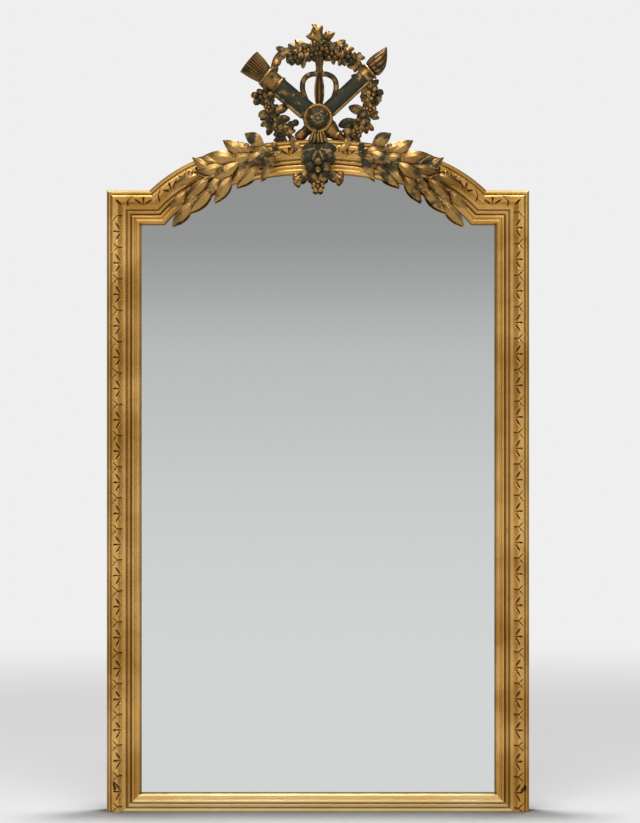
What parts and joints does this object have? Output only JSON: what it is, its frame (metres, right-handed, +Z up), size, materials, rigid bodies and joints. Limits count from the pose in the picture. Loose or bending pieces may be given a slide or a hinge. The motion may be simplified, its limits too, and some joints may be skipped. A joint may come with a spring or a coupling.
{
  "type": "giltwood overmantel mirror",
  "caption": "Arched giltwood wall mirror with carved leaf-tip moulding, crest of crossed quiver and torch in a flower wreath, laurel branches, and hanging rings on its back.",
  "frame": {"origin": "middle of the underside of the bottom rail, at mid thickness of the chassis", "axes": "+Z up the frame, +X to the right as seen from the front, +Y back towards the wall; the glass faces -Y"},
  "size_m": [0.96, 0.0808, 1.7952],
  "materials": {
    "gilding": "water-gilded gesso on carved wood, rubbed to a warm satin gold",
    "crest_gilding": "gilding with dark patina in its hollows",
    "crest_patina": "green-black patina over worn gilding",
    "softwood": "old bare pine",
    "backboard": "old bare pine boards",
    "iron": "blackened wrought iron",
    "screws": "dulled steel",
    "glass": "clear polished plate",
    "silvering": "silvered"
  },
  "bodies": {
    "mirror": {"right_carved_moulding": "gilding", "left_carved_moulding": "gilding", "right_shoulder_carved_moulding": "gilding", "left_shoulder_carved_moulding": "gilding", "arch_carved_moulding": "gilding", "right_sight_moulding": "gilding", "left_sight_moulding": "gilding", "right_shoulder_sight_moulding": "gilding", "left_shoulder_sight_moulding": "gilding", "arch_sight_moulding": "gilding", "bottom_sight_moulding": "gilding", "right_laurel_branch": "gilding", "left_laurel_branch": "gilding", "quiver_tail": "crest_gilding", "quiver_bands": "crest_gilding", "arrow_feathers": "crest_gilding", "torch_tail": "crest_gilding", "torch_collar": "crest_gilding", "torch_flame": "crest_gilding", "patera": "crest_gilding", "crest_shell": "crest_gilding", "ribbon_stem": "crest_gilding", "right_ribbon_loop": "crest_gilding", "left_ribbon_loop": "crest_gilding", "finial_leaves": "crest_gilding", "quiver_body": "crest_patina", "torch_shaft": "crest_patina", "patera_rosette": "crest_patina", "wreath_upper_left": "crest_patina", "wreath_upper_right": "crest_patina", "wreath_lower_left": "crest_patina", "wreath_lower_right": "crest_patina", "pendant_leaves": "crest_patina", "pendant_flowers": "crest_patina", "right_stile": "softwood", "left_stile": "softwood", "right_shoulder_rail": "softwood", "left_shoulder_rail": "softwood", "bottom_rail": "softwood", "arch_rail": "softwood", "chassis_pegs": "softwood", "arch_dowels": "softwood", "glass_setting_blocks": "softwood", "left_backboard": "backboard", "centre_backboard": "backboard", "right_backboard": "backboard", "lower_batten": "backboard", "middle_batten": "backboard", "upper_batten": "backboard", "right_hanger_plate": "iron", "left_hanger_plate": "iron", "crest_strap": "iron", "batten_end_screws": "screws", "backboard_screws": "screws", "hanger_screws": "screws", "crest_strap_screws": "screws", "mirror_glass": "glass", "mirror_silvering": "silvering"},
    "right_ring": {"right_hanging_ring": "iron"},
    "left_ring": {"left_hanging_ring": "iron"}
  },
  "joints": [
    {"name": "right_ring_swing", "type": "hinge", "parent": "mirror", "child": "right_ring", "pos_m": [0.448, 0.00842, 1.15], "axis": [1, 0, 0], "range_deg": [0, 150]},
    {"name": "left_ring_swing", "type": "hinge", "parent": "mirror", "child": "left_ring", "pos_m": [-0.448, 0.00842, 1.15], "axis": [1, 0, 0], "range_deg": [0, 150]}
  ]
}
